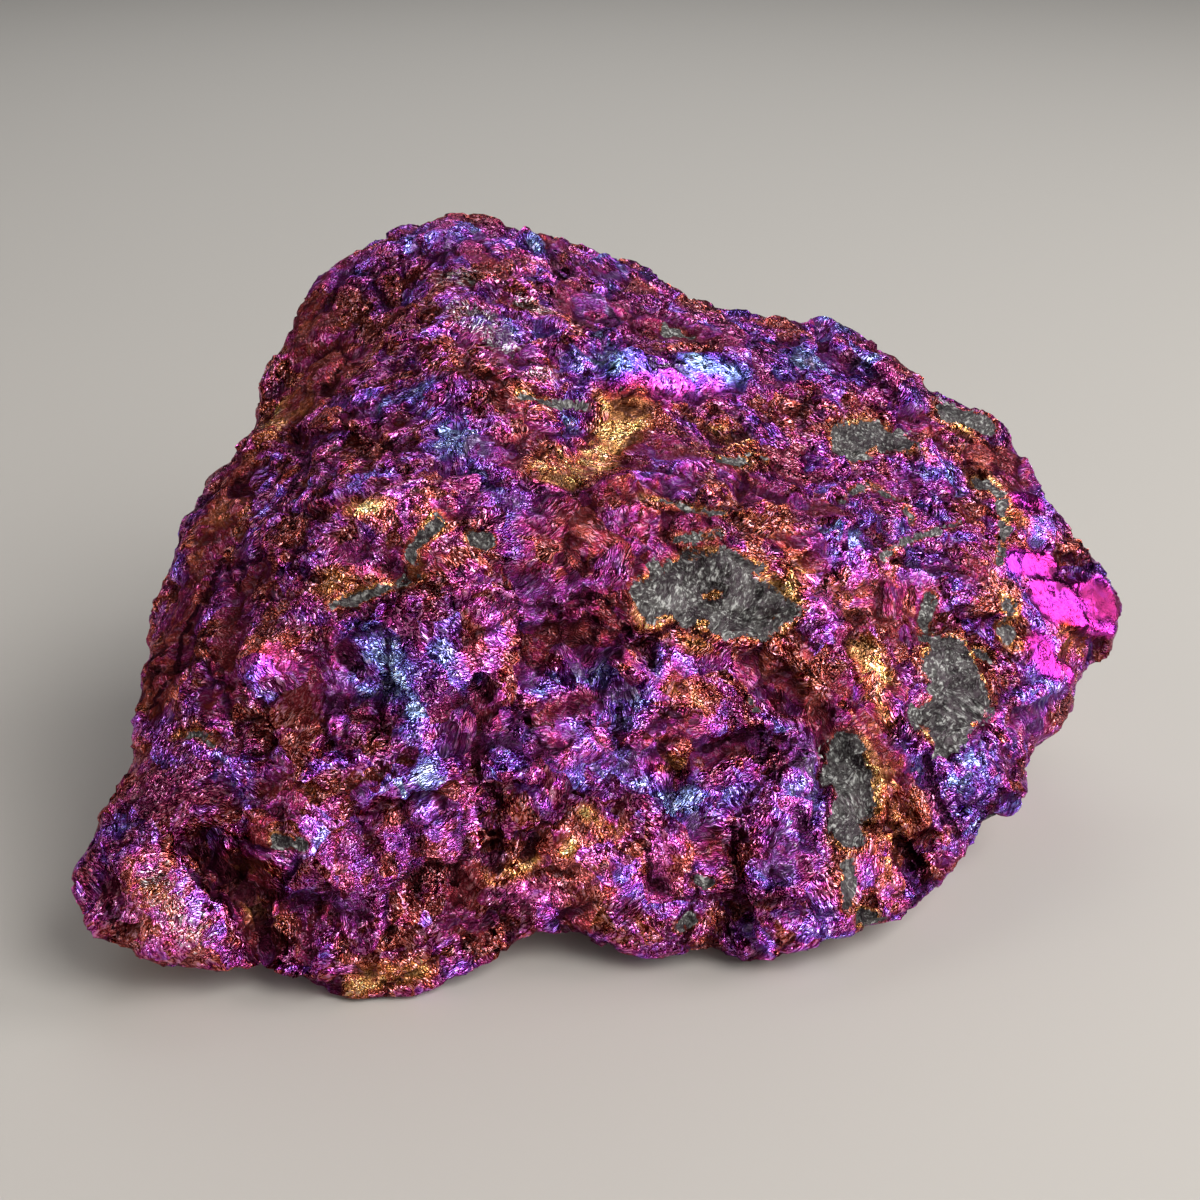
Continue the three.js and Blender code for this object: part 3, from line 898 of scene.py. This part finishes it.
def oreMaterial():
    material = bpy.data.materials.new("tarnishedOreWithPaintedLight")
    material.use_nodes = True
    material.node_tree.nodes.clear()
    start = Link(material.node_tree)

    def attribute(name):
        return start.node("ShaderNodeAttribute", {"attribute_name": name})["Fac"]

    def unit(vector):
        return vector.node("ShaderNodeVectorMath", {"operation": "NORMALIZE"}, {0: vector})

    def ramp(stops, value):
        return start.node("ShaderNodeValToRGB", {"stops": stops}, {"Fac": value})["Color"]

    def comesIn(value, mark):
        return value.smooth(*markRanges[mark])

    # Grains are blades that lie along each crystal's own direction, longer in some crystals than in others
    place = start.node("ShaderNodeTexCoord")["Object"].scaled(1 / mm)
    crystal = cells(crystalPlace(place), lumpShape["crystalSize"])["Color"]
    block = cells(blockPlace(place), lumpShape["blockSize"])["Color"]
    blade = unit(centred(crystal))
    wavy = warped(place, *oreFinishAndPaintedLight["waviness"])
    shortest, longest = oreFinishAndPaintedLight["grainStretch"]
    stretch = shortest + (longest - shortest) * part(crystal, "Z")
    bladed = wavy.vector("SUBTRACT", blade.scaled(blade.dot(wavy) * stretch))
    grain = cells(bladed, oreFinishAndPaintedLight["grainSize"])["Color"]
    folds = noise(bladed, oreFinishAndPaintedLight["creaseSize"], oreFinishAndPaintedLight["creaseDetail"], oreFinishAndPaintedLight["creaseRough"])
    crease = abs(folds.swing())
    fine = pattern(place, "fine")
    tones = {
        "broad": pattern(place, "broad"),
        "patchy": pattern(place, "patches"),
        "crystal": part(crystal, "Z"),
        "block": part(block, "X"),
        "grain": part(grain, "X"),
        "crease": comesIn(crease, "crease"),
    }

    def blend(shares):
        return sum(share * tones[name].swing() for name, share in shares.items())

    # A painted zone with an outline that follows the patches and blocks
    def ragged(name):
        return comesIn(attribute(name) + blend(oreFinishAndPaintedLight["raggedEdge"]), "ragged")

    edge = rockEdge(place, attribute("hostRock")) + oreFinishAndPaintedLight["fineEdge"] * fine.swing()
    zones = {"matte": ragged("matte"), "facet": attribute("facet"), "rock": comesIn(edge, "rock")}

    def kept(mark):
        left = [zones[name].less(share) for name, share in markLosses[mark].items()]
        return math.prod(left[1:], start=left[0])

    # Film thickness, with a gold and red rim where the ore meets the host rock
    rim = comesIn(edge, "rim") * (1 - zones["rock"])
    uneven = blend(oreFinishAndPaintedLight["filmSwing"]).atLeast(oreFinishAndPaintedLight["filmThinnest"])
    film = attribute("film") + (uneven - oreFinishAndPaintedLight["rimThinning"] * rim) * kept("film")
    ore = ramp(oreFinishAndPaintedLight["filmColours"], film)

    # Dull tarnish and painted shade in hollows are deep red; painted highlights make ridges and highlight
    # faces paler
    ore = ore.mixed(oreFinishAndPaintedLight["matteColour"], markShares["matte"] * zones["matte"])
    bright = ragged("bright") * kept("bright")
    ridge = comesIn(attribute("standsOut"), "ridge")
    ore = ore.mixed(ore, markShares["bright"] * bright + markShares["ridge"] * ridge, "ADD")

    # Painted shade: crevices, gaps between crystals, the bottoms of creases and cracks are darkened to
    # nearly black
    crevice = 1 - comesIn(attribute("standsOut"), "crevice")
    crack = comesIn(attribute("crack") + blend(oreFinishAndPaintedLight["crackEdge"]), "crack")
    dark = markShares["creaseGap"] * (1 - comesIn(crease, "creaseGap")) * kept("creaseGap")
    for name, mark in (("crevice", crevice), ("gap", comesIn(attribute("gap"), "gap")), ("crack", crack)):
        dark = dark.atLeast(markShares[name] * mark)
    ore = ore.mixed(oreFinishAndPaintedLight["creviceColour"], dark)

    # Painted sheen: grey is added on the tops of the creases; painted glints: some grains are pale; cleavage
    # faces are deeper in colour
    ore = ore.mixed(oreFinishAndPaintedLight["crestColour"], tones["crease"] * (1 - dark) * kept("crest"), "ADD")
    pale = markShares["paleGrain"] * comesIn(tones["crease"], "creaseTop") + markShares["paleFace"] * bright
    ore = ore.mixed(oreFinishAndPaintedLight["paleGrain"], pale * tones["grain"] * (1 - dark) * kept("pale"))
    ore = ore.mixed(ore, markShares["facet"] * zones["facet"], "MULTIPLY")
    # Silver: untarnished sulphide, and painted glints where the knob, tongue and crest streak catch the
    # light
    silver = comesIn(attribute("silver") + oreFinishAndPaintedLight["silverSpread"] * fine.swing(), "silver")
    ore = ore.mixed(oreFinishAndPaintedLight["silverColour"], markShares["silver"] * silver * tones["crease"])
    stone = ramp(oreFinishAndPaintedLight["rockColours"], fine + blend(oreFinishAndPaintedLight["rockSpeckle"]))

    # Each grain is a small mirror that leans its own way, and the painted highlight faces also lean to the
    # key light
    flatter = kept("lean")
    normal = start.node("ShaderNodeNewGeometry")["Normal"]
    for tilt, level in ((crystal, "crystalLean"), (block, "blockLean"), (grain, "grainLean")):
        normal = normal.vector("ADD", centred(tilt).scaled(flatter * oreFinishAndPaintedLight[level]))
    keyMirror = start.node("ShaderNodeCombineXYZ", {}, dict(enumerate(mirrorOf("key", studio["aim"]))))
    normal = normal.vector("ADD", keyMirror.scaled(bright * oreFinishAndPaintedLight["brightLean"]))
    weakest, strongest = oreFinishAndPaintedLight["creaseStrength"]
    bumped = start.node("ShaderNodeBump", {}, {
        "Strength": flatter * (weakest + (strongest - weakest) * part(crystal, "Y")),
        "Distance": oreFinishAndPaintedLight["creaseDepth"],
        "Height": crease,
        "Normal": unit(normal),
    })

    rougher = {"grain": tones["grain"].swing(), "crevice": crevice, "bright": bright, **zones}
    roughness = sum(share * rougher[name] for name, share in oreFinishAndPaintedLight["roughnessOf"].items())
    shader = start.node("ShaderNodeBsdfPrincipled", {}, {
        "Base Color": ore.mixed(stone, zones["rock"]),
        "Metallic": 1 - zones["rock"],
        "Roughness": oreFinishAndPaintedLight["roughness"] + roughness,
        "Specular Tint": oreFinishAndPaintedLight["edgeTint"],
        "Normal": bumped,
    })
    start.node("ShaderNodeOutputMaterial", {}, {"Surface": shader})
    return material


# Soft boxes: where each stands, how wide it is, its power in watts and its colour
studio = {
    "lights": {
        "key": {"at": (0.40, -0.34, 0.52), "size": 0.50, "power": 5.2, "colour": (1, 0.97, 0.94)},
        "window": {"at": (0.66, 0.08, 0.38), "size": 0.36, "power": 3.0, "colour": (1, 0.98, 0.96)},
        "topBack": {"at": (-0.05, 0.50, 0.50), "size": 0.50, "power": 1.3, "colour": (0.96, 0.98, 1)},
        "leftFill": {"at": (-0.62, -0.06, 0.30), "size": 0.40, "power": 0.6, "colour": (1, 0.82, 0.68)},
        "frontFill": {"at": (0.20, -0.75, 0.30), "size": 0.40, "power": 1.1, "colour": (1, 0.98, 0.96)},
    },
    "aim": (0, 0, 25 * mm),
    "sky": (0.8, 0.82, 0.84, 1),
    "skyStrength": 0.10,
    "floorSize": 12,
    "floorColour": (0.50, 0.48, 0.45, 1),
    "floorRoughness": 0.7,
}


def addStudio():
    for name, box in studio["lights"].items():
        bpy.ops.object.light_add(type="AREA", location=box["at"])
        light = bpy.context.object
        light.name = name
        light.data.size = box["size"]
        light.data.energy = box["power"]
        light.data.color = box["colour"]
        aim = Vector(studio["aim"]) - light.location
        light.rotation_euler = aim.to_track_quat("-Z", "Y").to_euler()
    bpy.ops.mesh.primitive_plane_add(size=studio["floorSize"])
    floor = bpy.context.object
    floor.name = "floor"
    floor.data.materials.append(floorMaterial())
    world = bpy.data.worlds.new("studio")
    bpy.context.scene.world = world
    world.use_nodes = True
    sky = world.node_tree.nodes["Background"]
    sky.inputs["Color"].default_value = studio["sky"]
    sky.inputs["Strength"].default_value = studio["skyStrength"]
    bpy.context.scene.view_settings.view_transform = "Standard"


def floorMaterial():
    material = bpy.data.materials.new("paleFloor")
    material.use_nodes = True
    shader = material.node_tree.nodes["Principled BSDF"]
    shader.inputs["Base Color"].default_value = studio["floorColour"]
    shader.inputs["Roughness"].default_value = studio["floorRoughness"]
    return material


camera = addCamera()
lump = copyLump()
print("copied the lump:", len(lump.data.polygons), "faces")
carve(lump, camera)
applyNodes(lump, "plates", breakIntoPlates)
remesh(lump, lumpShape["finishedVoxel"])
cleave(lump, camera)
bpy.context.view_layer.update()
print("carved it:", len(lump.data.polygons), "faces")
paintZones(lump, camera)
applyNodes(lump, "grains", breakIntoGrains)
bpy.ops.object.select_all(action="DESELECT")
lump.select_set(True)
bpy.ops.object.shade_smooth()
lump.data.materials.append(oreMaterial())
print("finished its surface")
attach(lump, "root")
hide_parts(lumpShape["node"])
addStudio()
print("lit the studio")
